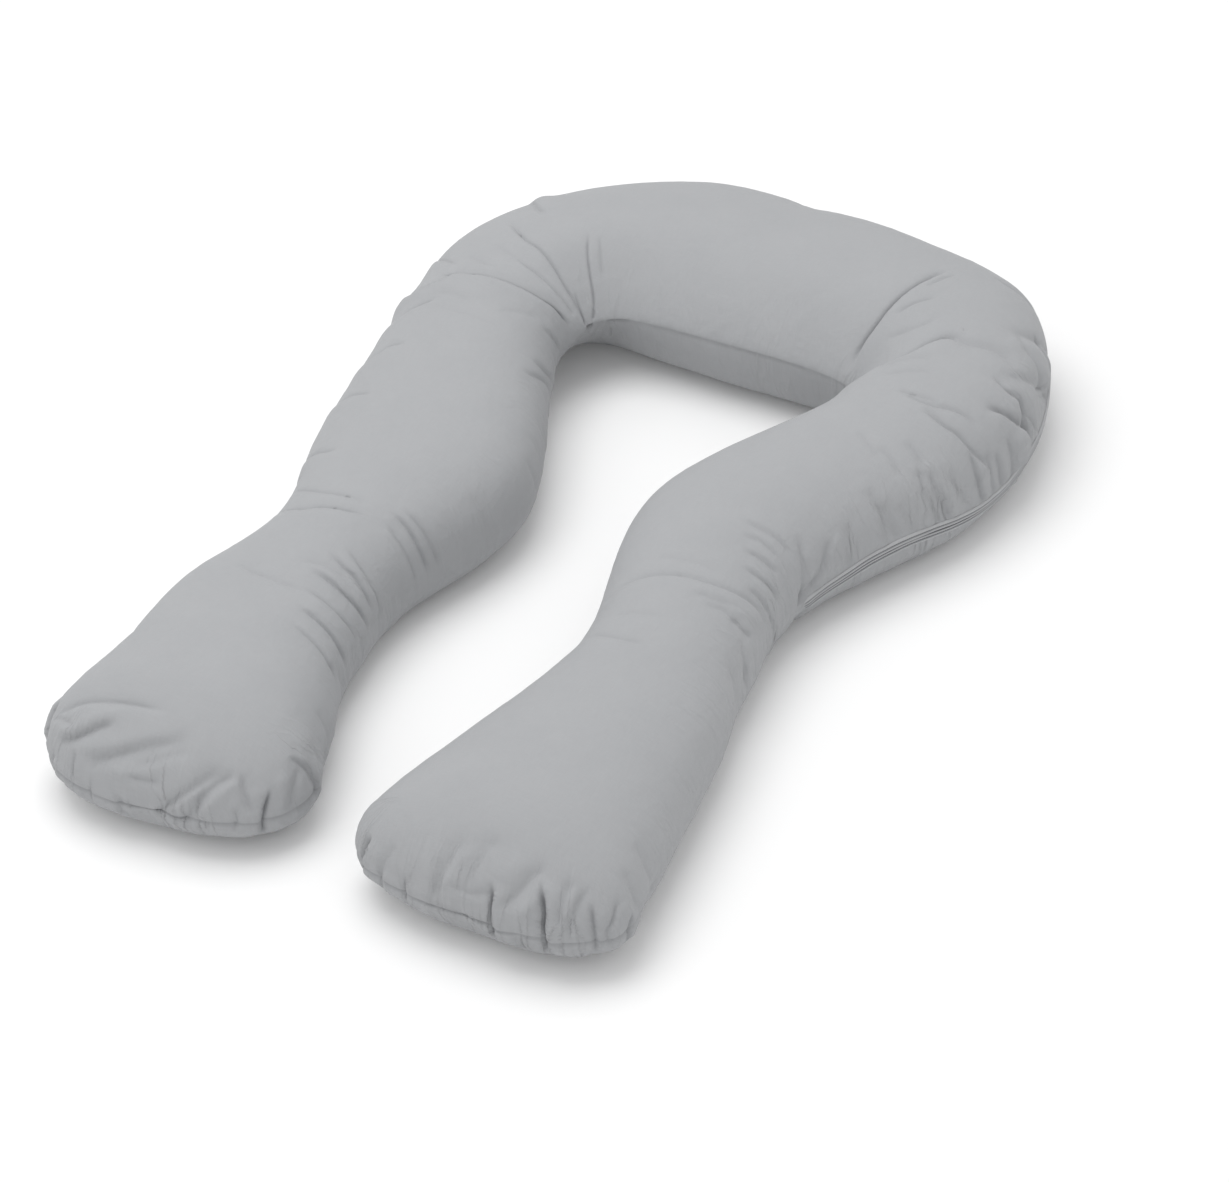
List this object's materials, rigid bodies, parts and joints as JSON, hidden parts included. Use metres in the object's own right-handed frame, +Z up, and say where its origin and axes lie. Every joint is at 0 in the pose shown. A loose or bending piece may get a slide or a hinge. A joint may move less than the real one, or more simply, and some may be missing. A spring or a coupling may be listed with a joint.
{
  "type": "u-shaped body pillow",
  "caption": "Full-length U-shaped body pillow with flared feet, a filled cotton body and a concealed side zip.",
  "frame": {"origin": "centre of the bounding box in plan, at the surface that the pillow lies on", "axes": "+Z up, the pillow lying on its back panel; +Y towards the crown of the U, -Y towards the two feet; +X towards the arm with the zip"},
  "size_m": [0.8544, 1.3026, 0.1792],
  "materials": {
    "cotton_cover": "matt plain-weave cotton, light cool grey",
    "zip_placket": "folded and topstitched plain-weave cotton, light cool grey"
  },
  "bodies": {
    "root": {"pillow": "cotton_cover", "zip_lip_upper": "zip_placket", "zip_lip_lower": "zip_placket"}
  },
  "joints": []
}
